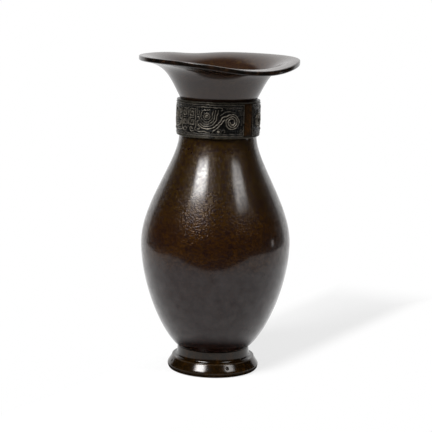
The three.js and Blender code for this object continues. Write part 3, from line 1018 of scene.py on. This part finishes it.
@dataclass
class Mouth:
    """Flared trumpet with a wavy lip; its spigot stands in the neck.

    Attributes:
        spigot: Radius of the spigot.
        spigot_foot: Height of the spigot's end.
        bore: Radius of the opening through it.
        step: Height of the shoulder on the neck's end.
        seat: Radius of the shoulder.
        throat: Radius at the collar.
        base_height: Height of the joint with the collar.
        top: Height of the lip.
        lip: Outer radius of the lip.
        thickness: Thickness of the lip.
        flat: Length of the curve's handle at the lip.
        drop: Fall of that handle.
        flare: Reach of the handle at the throat.
        rise: Rise of the handle at the throat.
        inside_share: Share of the throat's handle that the inside takes.
        roll: Rounding of the lip underneath.
        roll_inside: Rounding of the lip above, in shares of the one underneath.
        low_edge: Where the lip's edge begins: distance inside its radius, and share of its thickness.
        high_edge: Where the lip's edge ends: distance inside its radius, and under its top.
        edge_lift: Rise of the corner that rounds the lip underneath.
        painted_edge_band: Distances inside the lip's radius between which its dark edge sets in, a near-black
            painted shade for the dark surroundings that the edge mirrors.
        dip_start: Radius where the waves begin.
        dips: The hollows in the lip.
        columns: Steps round the axis.
    """

    spigot: float = 33.0
    spigot_foot: float = 240.2
    bore: float = 31.2
    step: float = 258.5
    seat: float = 35.2
    throat: float = 36.1
    base_height: float = 260.5
    top: float = 300.0
    lip: float = 75.8
    thickness: float = 4.6
    flat: float = 23.4
    drop: float = 3.6
    flare: float = 11.9
    rise: float = 23.3
    inside_share: float = 0.9
    roll: float = 1.5
    roll_inside: float = 1.2
    low_edge: Pair = (0.2, 0.7)
    high_edge: Pair = (0.25, 0.7)
    edge_lift: float = 0.1
    painted_edge_band: Pair = (1.6, 0.6)
    dip_start: float = 46.0
    dips: tuple[Dip, ...] = (
        Dip(depth=8.5, turn=-57.0, spread=29.0),
        Dip(depth=1.8, turn=109.0, spread=12.0),
    )
    columns: int = 400

    def outline(self) -> np.ndarray:
        """Closed outline: spigot, shoulder, and a cubic curve outside and inside of the rolled lip.

        Returns:
            Points, as radius and height.
        """
        under = (self.lip - self.roll, self.top - self.thickness)
        inner = (self.lip - self.roll_inside * self.roll, self.top)
        low = (self.lip - self.low_edge[0], self.top - self.low_edge[1] * self.thickness)
        high = (self.lip - self.high_edge[0], self.top - self.high_edge[1])
        share = self.inside_share
        return chain(
            (self.spigot, self.spigot_foot), (self.spigot, self.step), (self.seat, self.step),
            (self.seat, self.base_height),
            curve((self.throat, self.base_height), (self.throat + self.flare, self.base_height + self.rise),
                  (under[0] - self.flat, under[1] - self.drop), under, steps=60),
            rounded(under, (low[0], under[1] + self.edge_lift), low),
            rounded(high, (high[0], self.top), inner, steps=8),
            curve(inner, (inner[0] - self.flat, self.top - self.drop),
                  (self.bore + share * self.flare, self.base_height + share * self.rise),
                  (self.bore, self.base_height), steps=60),
            (self.bore, self.spigot_foot),
        )

    def build(self) -> None:
        """Turns the outline and lowers each place by the hollows' fall, eased in from throat to lip."""
        outline = self.outline()
        loops = turned(outline, self.columns)
        fall = sum(dip.fall(full_turn(self.columns)) for dip in self.dips)
        loops[..., 2] -= smoothstep(outline[:, :1], self.dip_start, self.lip) * fall
        # The lip's edge band goes into the wear attribute, where the finish paints it near-black as painted
        # shade
        edge = smoothstep(outline[:, :1], *(self.lip - inside for inside in self.painted_edge_band))
        set_piece(loft("flared_mouth", loops, edge, ring=True), "mouth", Patina.MOUTH)


def spiral(centre: Pair, turns: Pair, radii: Pair, steps: int) -> np.ndarray:
    """Points of a spiral: the radius grows evenly with the turn.

    Args:
        centre: Middle, as distance across and height.
        turns: First and last angle in degrees.
        radii: First and last radius.
        steps: Number of spans.

    Returns:
        Points, one row each.
    """
    turn = np.radians(np.linspace(*turns, steps + 1))
    radius = np.linspace(*radii, steps + 1)
    return np.array(centre) + radius[:, None] * np.stack([np.cos(turn), np.sin(turn)], axis=1)


def flowing(points: Sequence[Pair] | np.ndarray, spans: int) -> np.ndarray:
    """Smooth line through points: each span is a cubic whose slopes are half the chord of the neighbours.

    Args:
        points: Places that the line passes.
        spans: Number of pieces of each span.

    Returns:
        Points, one row each.
    """
    knots = np.asarray(points, dtype=float)
    slope = np.gradient(knots, axis=0)
    t = np.linspace(0.0, 1.0, spans, endpoint=False)[None, :, None]
    a, b, m, n = (part[:, None, :] for part in (knots[:-1], knots[1:], slope[:-1], slope[1:]))
    line = ((2 * t**3 - 3 * t**2 + 1) * a + (t**3 - 2 * t**2 + t) * m
            + (3 * t**2 - 2 * t**3) * b + (t**3 - t**2) * n)
    return np.vstack([line.reshape(-1, 2), knots[-1:]])


def gap_to(across: np.ndarray, up: np.ndarray, path: np.ndarray) -> np.ndarray:
    """Distance from each place to the nearest span of a path, by the foot of the perpendicular on it.

    Args:
        across: Distances across.
        up: Heights.
        path: Points of the path.

    Returns:
        Distances, in the shape of across.
    """
    start, span = path[:-1], np.diff(path, axis=0)
    x, y = across.ravel()[:, None] - start[:, 0], up.ravel()[:, None] - start[:, 1]
    share = np.clip((x * span[:, 0] + y * span[:, 1]) / np.sum(span**2, axis=1), 0.0, 1.0)
    return np.hypot(x - share * span[:, 0], y - share * span[:, 1]).min(axis=1).reshape(across.shape)


def wavered(
    base: np.ndarray, across: np.ndarray, up: np.ndarray, waves: Sequence[Triple],
) -> np.ndarray:
    """Values moved by waves, each its size times the sine of its turns across and up.

    Args:
        base: Values before the waves.
        across: Distances across.
        up: Heights.
        waves: Size, turn across and turn up of each wave.

    Returns:
        The moved values.
    """
    for size, along, climb in waves:
        base = base + size * np.sin(along * across + climb * up)
    return base


@dataclass
class Ridge:
    """A raised line of the relief.

    Attributes:
        path: Points of the line, as distance across and height.
        half: Half its width.
        rise: How far it stands up.
        power: Power that rounds its section.
    """

    path: np.ndarray
    half: float = 0.55
    rise: float = 0.9
    power: float = 0.65

    def raise_on(self, across: np.ndarray, up: np.ndarray, height: np.ndarray) -> None:
        """Raises a height to the line's rounded section, the rise times a power of 1 less the squared gap.

        Args:
            across: Distances across, of each place.
            up: Heights, of each place.
            height: Relief height of each place, changed in place.
        """
        low, high = self.path.min(axis=0) - self.half, self.path.max(axis=0) + self.half
        near = (across > low[0]) & (across < high[0]) & (up > low[1]) & (up < high[1])
        gap = gap_to(across[near], up[near], self.path) / self.half
        height[near] = np.maximum(height[near], self.rise * np.clip(1 - gap**2, 0.0, 1.0) ** self.power)


@dataclass
class Relief:
    """Archaic scroll relief on one half of a panel, mirrored about its middle line.

    Attributes:
        eye: Middle of the eye.
        scroll: Middle of the large scroll.
        bead: Middle of the small boss.
        brow: Middle of the boss over the nose.
        half_width: Half the panel's width.
        half_height: Half the panel's height.
        frame_inset: Distance of the frame's line from the panel's edge.
        still: Width of the band by the edge where lines run true.
        bosses: Radius and height of the bosses at the eye, at the bead and at the brow.
        pupil: Place of the pupil from the eye's middle.
        pupil_reach: Radius of the pupil.
        pupil_depth: Depth of the pupil.
        side_waves: Waves that make the lines waver across.
        rise_waves: Waves that make the lines waver up and down.
        uneven: Share by which the casting's height is uneven.
        uneven_waves: Turns across and up of the two waves of that unevenness.
    """

    eye: Pair = (19.7, 3.7)
    scroll: Pair = (43.2, -1.4)
    bead: Pair = (30.8, -10.2)
    brow: Pair = (0.0, 10.6)
    half_width: float = 56.2
    half_height: float = 15.05
    frame_inset: float = 0.75
    still: float = 1.6
    bosses: tuple[Pair, ...] = ((1.9, 1.2), (1.4, 1.1), (1.2, 0.8))
    pupil: Pair = (0.3, -0.2)
    pupil_reach: float = 0.8
    pupil_depth: float = 0.9
    side_waves: tuple[Triple, ...] = ((0.18, 0.35, 0.9), (0.12, 1.7, 0.6))
    rise_waves: tuple[Triple, ...] = ((0.16, 0.7, -0.5), (0.1, 1.1, 1.9))
    uneven: float = 0.1
    uneven_waves: tuple[Pair, Pair] = ((0.43, 0.7), (0.31, -0.9))

    def ridges(self) -> list[Ridge]:
        """The raised lines.

        Returns:
            The lines, from the frame to the small curls.
        """
        wide, tall = self.half_width - self.frame_inset, self.half_height - self.frame_inset
        return [
            Ridge(np.array([(-1.0, tall), (wide, tall), (wide, -tall), (-1.0, -tall)]), half=0.6, rise=0.7),
            Ridge(np.array([(-1.0, tall - 1.9), (wide - 1.6, tall - 1.9)]), half=0.45, rise=0.5),
            Ridge(np.array([(-1.0, 1.7 - tall), (wide - 1.6, 1.7 - tall)]), half=0.5, rise=0.6),
            *self.hollows(),
            *self.sweep(),
            *self.face_lines(),
            *self.fret_lines(),
            *self.small_curls(),
        ]

    def hollows(self) -> list[Ridge]:
        """The eye's ring and the hollows nested under it.

        Returns:
            The ring, and each hollow as an arc with an arm up its right side.
        """
        ring = Ridge(spiral(self.eye, (0, 360), (2.9, 2.9), 32))
        arcs = ((5.1, 200, (25.4, 8.8)), (7.2, 212, (27.8, 9.4)), (9.3, 224, (30.4, 9.6)))
        lines = [np.vstack([spiral(self.eye, (first, 345), (radius, radius), 9), arm])
                 for radius, first, arm in arcs]
        return [ring, *(Ridge(flowing(line, 4)) for line in lines)]

    def sweep(self) -> list[Ridge]:
        """The line that leaves the outermost arc and winds into the large scroll, with its neighbours.

        Returns:
            The line and those beside it.
        """
        way = [(30.8, -2.6), (32.8, 0.6), (35.0, 3.4)]
        main = np.vstack([spiral(self.eye, (226, 312), (11.4, 11.8), 14), way,
                          spiral(self.scroll, (135, -900), (7.6, 1.7), 48)])
        below = [(25.2, -10.4), (29.4, -7.0), (32.8, -3.4), (34.8, -0.4), (36.2, 1.0)]
        above = [(32.4, 5.0), (35.2, 7.2), (40.0, 8.4), (46.0, 7.6)]
        under = [(8.6, -9.8), (12.4, -10.6), (17.0, -10.4), (22.4, -11.4)]
        return [
            Ridge(flowing(main, 4), half=0.65, rise=1.1),
            Ridge(flowing(below, 6)),
            Ridge(flowing(above, 6), half=0.5, rise=0.7),
            Ridge(flowing(under, 6), half=0.6, rise=1.0),
        ]

    def face_lines(self) -> list[Ridge]:
        """Nose, nostril curls, brow and the squared lines beside them.

        Returns:
            The lines, squared ones first.
        """
        squared = (
            [(0.0, 8.6), (0.0, -7.0)],
            [(8.4, 10.6), (8.4, -7.6)],
            [(6.4, 9.8), (2.2, 9.8), (2.2, 4.0), (6.4, 4.0), (6.4, 7.6), (4.3, 7.6), (4.3, 6.0)],
            [(6.4, 2.0), (2.2, 2.0), (2.2, -4.6), (6.4, -4.6), (6.4, -0.4), (4.3, -0.4), (4.3, -2.6)],
            [(10.4, 10.4), (10.4, 5.0), (12.6, 5.0), (12.6, 8.4)],
            [(10.4, 3.0), (12.4, 3.0), (12.4, -0.6), (10.4, -0.6), (10.4, -5.2)],
        )
        curled = (
            [(8.4, -7.6), (6.8, -10.2), (3.4, -10.4), (2.0, -8.2), (3.8, -6.8), (5.2, -8.2)],
            [(14.2, 3.0), (14.6, 7.0), (17.0, 9.4), (22.6, 9.6)],
            [(10.6, 12.0), (18.0, 12.2), (26.0, 12.0), (33.0, 11.6), (34.4, 9.8), (32.8, 9.2)],
            [(12.2, -3.0), (11.8, -5.6), (12.8, -8.0), (10.8, -8.6)],
        )
        return [*(Ridge(np.array(line)) for line in squared), *(Ridge(flowing(line, 6)) for line in curled)]

    def fret_lines(self) -> list[Ridge]:
        """The squared line above the scroll."""
        step = [(37.6, 11.2), (53.2, 11.2), (53.2, 5.0), (51.0, 5.0), (51.0, 9.2), (49.0, 9.2)]
        return [Ridge(np.array(step), half=0.5, rise=0.6)]

    def small_curls(self) -> list[Ridge]:
        """Curls beside the small boss and in the corner by the frame.

        Returns:
            The curls, and the short line over the corner.
        """
        x, y = self.bead
        return [
            Ridge(spiral((x, y), (-60, 120), (2.6, 2.6), 16), half=0.45, rise=0.55),
            Ridge(spiral((x + 4.6, y + 0.4), (200, -60), (1.8, 0.9), 16), half=0.45, rise=0.55),
            Ridge(spiral((53.0, -10.0), (90, 420), (2.0, 0.8), 18), half=0.45, rise=0.5),
            Ridge(flowing([(53.2, -4.6), (53.4, 0.0), (52.8, 3.4)], 6), half=0.5, rise=0.5),
        ]

    def height(self, across: np.ndarray, up: np.ndarray) -> np.ndarray:
        """Relief height: the highest of all lines and bosses, softened by a slow unevenness of the casting.

        Args:
            across: Distance of each place from the panel's middle line.
            up: Height of each place from the panel's middle.

        Returns:
            Heights above the panel's face.
        """
        aside = np.abs(across)
        side = np.abs(wavered(aside, across, up, self.side_waves))
        side = np.where(aside > self.half_width - self.still, aside, side)
        rise = wavered(up, across, up, self.rise_waves)
        rise = np.where(np.abs(up) > self.half_height - self.still, up, rise)
        height = np.zeros(side.shape)
        for ridge in self.ridges():
            ridge.raise_on(side, rise, height)
        for (x, y), (reach, top) in zip((self.eye, self.bead, self.brow), self.bosses):
            gap = np.hypot(side - x, rise - y) / reach
            height = np.maximum(height, top * np.sqrt(np.clip(1 - gap**2, 0.0, 1.0)))
        gap = np.hypot(side - self.eye[0] - self.pupil[0], rise - self.eye[1] - self.pupil[1])
        pupil = np.clip(1 - (gap / self.pupil_reach) ** 2, 0.0, 1.0)
        first, second = (np.sin(along * across + climb * up) for along, climb in self.uneven_waves)
        return (height - self.pupil_depth * pupil) * (1 - self.uneven + self.uneven * first * second)


@dataclass
class Collar:
    """Ring round the neck with two relief panels, the bars between them and the pins beneath.

    Attributes:
        low: Height of the collar's foot.
        high: Height of its top.
        inner: Radius of its bore.
        ground: Radius of its plain ground.
        rim: Radius of its two rims.
        rim_height: Height of each rim.
        rim_round: Rounding of a rim's outer edge.
        rim_soft: Rounding of a rim's edge by the panels.
        uneven: Half the depth of each wave of the rims.
        rim_waves: Waves round the collar and phase of each.
        sharpest: Bend at which an edge is fully worn.
        back: Radius of the backs of panels and bars.
        face: Radius of the panels' face.
        bar_face: Radius of the bars' face.
        bar_half: Half a bar's width.
        bar_edge: Width and depth of a bar's rounded edge.
        bar_hollow: Half the depth of a bar's upright hollows.
        bar_waves: Turns of the hollows across, and how far and how fast they waver on the way up.
        bar_turns: Turns of the bars about the axis, in degrees.
        pin_radius: Half a pin's thickness.
        pin_inner: Distance of a pin's inner end from the axis.
        pin_height: Height of the pins.
        pin_dome: Length of a pin's rounded end.
        columns: Steps of the ring round the axis.
        panel_steps: Sections of a panel, and points up its face.
        bar_steps: Sections of a bar, and points up its face.
        back_steps: Points up the back of a panel or bar.
        creases: Angles in degrees above which edges of panels and of bars are shown sharp.
        relief: The panels' relief.
    """

    low: float = 226.7
    high: float = 260.2
    inner: float = 35.5
    ground: float = 37.6
    rim: float = 39.4
    rim_height: float = 1.4
    rim_round: float = 0.5
    rim_soft: float = 0.4
    uneven: float = 0.06
    rim_waves: tuple[Pair, ...] = ((7.0, 0.0), (13.0, 1.0))
    sharpest: float = 1.5
    back: float = 37.9
    face: float = 39.0
    bar_face: float = 39.6
    bar_half: float = 4.75
    bar_edge: Pair = (1.5, 1.3)
    bar_hollow: float = 0.05
    bar_waves: Triple = (3.1, 0.4, 0.5)
    bar_turns: tuple[float, ...] = (-44.5, 135.5)
    pin_radius: float = 1.2
    pin_inner: float = 31.5
    pin_height: float = 249.2
    pin_dome: float = 0.2
    columns: int = 360
    panel_steps: tuple[int, int] = (560, 150)
    bar_steps: tuple[int, int] = (48, 120)
    back_steps: int = 6
    creases: Pair = (75.0, 50.0)
    relief: Relief = field(default_factory=Relief)

    def ring(self) -> bpy.types.Object:
        """Outline of the ground between two rounded rims, turned about the axis with slightly uneven rims.

        Returns:
            The collar ring.
        """
        low, high, rim, turn, soft = self.low, self.high, self.rim, self.rim_round, self.rim_soft
        under, over = low + self.rim_height, high - self.rim_height
        outline = chain(
            (self.inner, low),
            rounded((rim - turn, low), (rim, low), (rim, low + turn)),
            rounded((rim, under - soft), (rim, under), (rim - soft, under)),
            (self.ground, under), (self.ground, over),
            rounded((rim - soft, over), (rim, over), (rim, over + soft)),
            rounded((rim, high - turn), (rim, high), (rim - turn, high)),
            (self.inner, high),
        )
        way = full_turn(self.columns)
        loops = turned(outline, len(way))
        outer = outline[:, :1] > (self.ground + rim) / 2
        waves = sum(np.sin(count * way + phase) for count, phase in self.rim_waves)
        uneven = self.uneven * (waves - len(self.rim_waves)) * outer
        loops[..., :2] *= (1 + uneven / outline[:, :1])[..., None]
        return loft("collar_band", loops, edge_wear(outline, self.sharpest)[:, None], ring=True)

    def inlay(self, name: str, turn: float, half_width: float, face: float, steps: tuple[int, int],
              height: Callable[[np.ndarray, np.ndarray], np.ndarray], crease: float) -> bpy.types.Object:
        """Curved plate: sections of a raised face and a plain back, carried round the collar.

        Args:
            name: Name of the piece.
            turn: Turn of its middle about the axis, in degrees.
            half_width: Half its width along the collar.
            face: Radius of its face before relief.
            steps: Number of sections and of points up the face.
            height: Relief height of a place across and up.
            crease: Angle in degrees above which an edge is shown sharp.

        Returns:
            The plate.
        """
        half_height = self.relief.half_height
        across, up = np.meshgrid(np.linspace(-half_width, half_width, steps[0]),
                                 np.linspace(half_height, -half_height, steps[1]), indexing="ij")
        rise = height(across, up)
        behind = np.linspace(-half_height, half_height, self.back_steps)[None, :].repeat(steps[0], axis=0)
        radius = np.concatenate([face + rise, np.full(behind.shape, self.back)], axis=1)
        level = np.concatenate([up, behind], axis=1)
        angle = math.radians(turn) + across[:, :1] / self.face
        middle = (self.low + self.high) / 2
        loops = np.stack([radius * np.cos(angle), radius * np.sin(angle), middle + level], axis=-1)
        wear = np.concatenate([np.clip(rise, 0.0, 1.0) ** 2, np.zeros(behind.shape)], axis=1)
        piece = loft(name, loops, wear, ring=False, crease=crease)
        wide = np.concatenate([across, behind * 0 + across[:, :1]], axis=1)
        spots = np.stack([wide / half_width, level / half_height], axis=-1).reshape(-1, 2) / 2 + 0.5
        corners = np.empty(len(piece.data.loops), dtype=np.int32)
        piece.data.loops.foreach_get("vertex_index", corners)
        spread = piece.data.uv_layers.new(name="face")
        spread.uv.foreach_set("vector", spots[corners].astype(np.float32).ravel())
        return piece

    def bar_height(self, across: np.ndarray, up: np.ndarray) -> np.ndarray:
        """Height of a bar's face: edges rounded as a quarter ellipse, and faint upright hollows.

        Args:
            across: Distance of each place from the bar's middle line.
            up: Height of each place from the bar's middle.

        Returns:
            Heights above the bar's face, none above zero.
        """
        width, depth = self.bar_edge
        edge = np.minimum(self.bar_half - np.abs(across), self.relief.half_height - np.abs(up))
        # Short of 1, where the edge would stand upright
        gap = np.clip(1 - edge / width, 0.0, 0.999)
        count, waver, pace = self.bar_waves
        faint = self.bar_hollow * (np.sin(count * across + waver * np.sin(pace * up)) - 1)
        return depth * (np.sqrt(1 - gap**2) - 1) + faint

    def build(self) -> None:
        """Builds and dresses the ring, the panels, the bars and the pins."""
        set_piece(self.ring(), "collar_ring", Patina.COLLAR)
        pin = Pin(self.pin_radius, self.pin_inner, self.ground, self.pin_height, dome=self.pin_dome)
        for number, turn in enumerate(self.bar_turns, 1):
            panel = self.inlay(f"scroll_panel_{number}", turn - 90.0, self.relief.half_width, self.face,
                               self.panel_steps, self.relief.height, self.creases[0])
            set_piece(panel, f"relief_panel_{number}", Patina.RELIEF)
            bar = self.inlay(f"plain_bar_{number}", turn, self.bar_half, self.bar_face,
                             self.bar_steps, self.bar_height, self.creases[1])
            set_piece(bar, f"divider_bar_{number}", Patina.BAR)
            set_piece(pin.build(f"neck_peg_{number}", turn), f"neck_pin_{number}", Patina.PIN)


# The studio

@dataclass
class Softbox:
    """A soft lamp that faces the vase.

    Attributes:
        name: Name of the lamp.
        turn: Turn from the camera's side, to the right, in degrees.
        climb: Climb above the floor, in degrees.
        away: Distance from the vase, in metres.
        size: Width and height, in metres.
        glow: Radiance of its middle.
        fade: Share of its half size over which the glow fades out.
        aim: Place on the vase that it faces, in metres.
    """

    name: str
    turn: float
    climb: float
    away: float
    size: Pair
    glow: float
    fade: float = 0.2
    aim: Triple = (0.0, 0.0, 0.15)

    def dim_edges(self, lamp: bpy.types.AreaLight) -> None:
        """Fades the lamp's face out towards its edges.

        Args:
            lamp: The lamp.
        """
        net = fresh_net(lamp)
        spot = net.parts(net.add("ShaderNodeNewGeometry").outputs["Parametric"])
        shares = [net.ease(net.off_middle(spot[way]), 0.5, 0.5 - self.fade / 2) for way in (0, 1)]
        glow = net.add("ShaderNodeEmission", {"Color": WHITE, "Strength": net.product(*shares)})
        net.feed(net.add("ShaderNodeOutputLight").inputs["Surface"], glow.outputs[0])

    def build(self) -> None:
        """Hangs the lamp; its power is pi times its area times its glow."""
        lamp = bpy.data.lights.new(self.name, "AREA")
        lamp.shape = "RECTANGLE"
        lamp.size, lamp.size_y = self.size
        lamp.energy = math.pi * self.size[0] * self.size[1] * self.glow
        self.dim_edges(lamp)
        turn, climb = math.radians(self.turn), math.radians(self.climb)
        way = Vector((math.sin(turn) * math.cos(climb), -math.cos(turn) * math.cos(climb), math.sin(climb)))
        hung = placed(self.name, lamp)
        hung.matrix_world = Matrix.Translation(Vector(self.aim) + self.away * way) @ (
            way.to_track_quat("Z", "Y").to_matrix().to_4x4())
        hung.visible_camera = False


@dataclass
class Studio:
    """Pale floor, soft lamps, surroundings and the camera.

    Attributes:
        eye: Place of the camera, in metres.
        dip: Downward look of the camera, in radians.
        lean: Turn of the camera about its view, in radians.
        lens: Focal length in millimetres.
        sensor: Width of the picture in the camera, in millimetres.
        sheet: Corners of the white sheet, in metres.
        sheet_height: Height of the sheet, just under the vase, in metres.
        grey: Reflectance of the sheet where it takes the shadow.
        lift: Share of the floor near the vase that shows plain white.
        across_shadow: Direction across the vase's shadow; beside the shadow the floor is plain white.
        shadow_half: Distances from the shadow's middle line between which it ends, in metres.
        shadow_end: Distances from the vase between which the shadow ends, in metres.
        painted_contact_shade: Distances from the vase between which the floor's mirror image sets in, in
            metres; nearer the foot the mirror image is dark, a painted shade for the contact shadow.
        fill: Level of the diffuse surroundings.
        dim: Level of the dark side of the surroundings that the vase mirrors.
        pale_back: Shares of straight back between which their pale side sets in.
        pale_climb: Climbs, as height over distance, between which it sets in.
        boxes: The lamps.
    """

    eye: Triple = (0.0, -1.373, 0.388)
    dip: float = 0.173
    lean: float = 0.023
    lens: float = 121.6
    sensor: float = 36.0
    sheet: tuple[Pair, ...] = (
        (-0.75, 1.0), (-0.66, 0.5), (-0.57, 0.06), (-0.54, -0.2), (-0.4, -0.3), (-0.22, -0.314),
        (-0.05, -0.314), (0.11, -0.332), (0.24, -0.354), (0.5, -0.375), (0.68, -0.2), (0.76, 0.1),
        (0.86, 0.5), (1.0, 1.0),
    )
    sheet_height: float = -0.0003
    grey: float = 0.7
    lift: float = 0.7
    across_shadow: Triple = (0.862, -0.508, 0.0)
    shadow_half: Pair = (0.036, 0.07)
    shadow_end: Pair = (0.33, 0.44)
    painted_contact_shade: Pair = (0.043, 0.068)
    fill: float = 0.3
    dim: float = 0.02
    pale_back: Pair = (0.64, 0.7)
    pale_climb: Pair = (0.95, 0.75)
    boxes: tuple[Softbox, ...] = (
        Softbox("key_box", turn=-40.0, climb=45.5, away=1.6, size=(0.86, 0.94), glow=37.0, fade=0.65),
        Softbox("side_box", turn=54.0, climb=44.5, away=1.6, size=(0.78, 0.9), glow=10.6, fade=0.65),
        Softbox("low_strip", turn=96.0, climb=-2.0, away=1.3, size=(0.1, 0.15), glow=3.0),
    )

    def camera(self) -> None:
        """Sets the camera at the photograph's viewing angle."""
        lens = bpy.data.cameras.new("view")
        lens.lens, lens.sensor_width = self.lens, self.sensor
        camera = placed("view", lens)
        camera.matrix_world = (Matrix.Translation(self.eye) @ Matrix.Rotation(math.pi / 2 - self.dip, 4, "X")
                               @ Matrix.Rotation(self.lean, 4, "Z"))
        bpy.context.scene.camera = camera

    def paper(self) -> bpy.types.Material:
        """White paper that keeps the vase's shadow and is plain white elsewhere; its mirror image takes a
        painted shade round the foot.

        Returns:
            The material.
        """
        paper = bpy.data.materials.new("white_sheet")
        net = fresh_net(paper)
        rays = net.add("ShaderNodeLightPath").outputs
        mirrored = rays["Is Glossy Ray"]
        seen = net.math("MAXIMUM", mirrored, rays["Is Transmission Ray"])
        seen = net.math("MAXIMUM", rays["Is Camera Ray"], seen)
        place = net.place()
        away = net.add("ShaderNodeVectorMath", {0: place}, operation="LENGTH").outputs["Value"]
        cross = net.add("ShaderNodeVectorMath", {0: place, 1: self.across_shadow}, operation="DOT_PRODUCT")
        aside = net.ease(net.math("ABSOLUTE", cross.outputs["Value"]), *self.shadow_half)
        plain = net.math("MAXIMUM", aside, mirrored)
        plain = net.math("MAXIMUM", net.ease(away, *self.shadow_end), plain)
        plain = net.math("MULTIPLY_ADD", plain, 1.0 - self.lift, self.lift)
        # Painted shade: mirror images of the floor darken towards the foot, standing in for the contact
        # shadow
        near = net.between(mirrored, 1.0, net.ease(away, *self.painted_contact_shade))
        matt = net.add("ShaderNodeBsdfDiffuse", {"Color": (self.grey, self.grey, self.grey, 1.0)})
        white = net.add("ShaderNodeEmission", {"Color": WHITE, "Strength": near})
        feeds = {0: net.product(seen, plain), 1: matt.outputs[0], 2: white.outputs[0]}
        mixed = net.add("ShaderNodeMixShader", feeds)
        net.feed(net.add("ShaderNodeOutputMaterial").inputs["Surface"], mixed.outputs[0])
        return paper

    def floor(self) -> None:
        """Lays a white sheet with a bowed front edge."""
        mesh = bpy.data.meshes.new("floor_sheet")
        corners = [(*corner, self.sheet_height) for corner in self.sheet]
        mesh.from_pydata(corners, [], [range(len(corners))])
        mesh.materials.append(self.paper())
        placed("floor_sheet", mesh)

    def surroundings(self) -> None:
        """White background, mirrored as dim in front and as pale behind."""
        world = bpy.data.worlds.new("studio")
        bpy.context.scene.world = world
        net = fresh_net(world)
        rays = net.add("ShaderNodeLightPath").outputs
        way = net.parts(net.add("ShaderNodeTexCoord").outputs["Generated"])
        flat = net.math("SQRT", net.total(net.product(way[0], way[0]), net.product(way[1], way[1])))
        # Kept from zero, for straight up and down
        flat = net.math("MAXIMUM", flat, 0.001)
        back = net.math("DIVIDE", way[1], flat)
        behind = net.product(net.ease(back, *self.pale_back), net.ease(way[2], *self.pale_climb))
        mirrored = net.math("MULTIPLY_ADD", behind, 1.0 - self.dim, self.dim)
        level = net.between(rays["Is Glossy Ray"], self.fill, mirrored)
        seen = net.math("MAXIMUM", rays["Is Camera Ray"], rays["Is Transmission Ray"])
        glow = net.add("ShaderNodeBackground", {"Color": WHITE, "Strength": net.between(seen, level, 1.0)})
        net.feed(net.add("ShaderNodeOutputWorld").inputs["Surface"], glow.outputs[0])

    def build(self) -> None:
        """Sets the camera, the floor, the surroundings and the lamps."""
        self.camera()
        self.floor()
        self.surroundings()
        for box in self.boxes:
            box.build()
        bpy.context.scene.view_settings.view_transform = "Standard"
        log.info("studio: %d lamps", len(self.boxes))


def note_sizes() -> None:
    """Brings the view layer up to date."""
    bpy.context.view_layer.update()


def main() -> None:
    """Builds the studio and the vase from foot to mouth, and updates the view layer."""
    logging.basicConfig(level=logging.INFO, format="%(message)s")
    Studio().build()
    for assembly in (Foot(), Body(), Mouth(), Collar()):
        assembly.build()
    note_sizes()


if __name__ == "__main__":
    main()
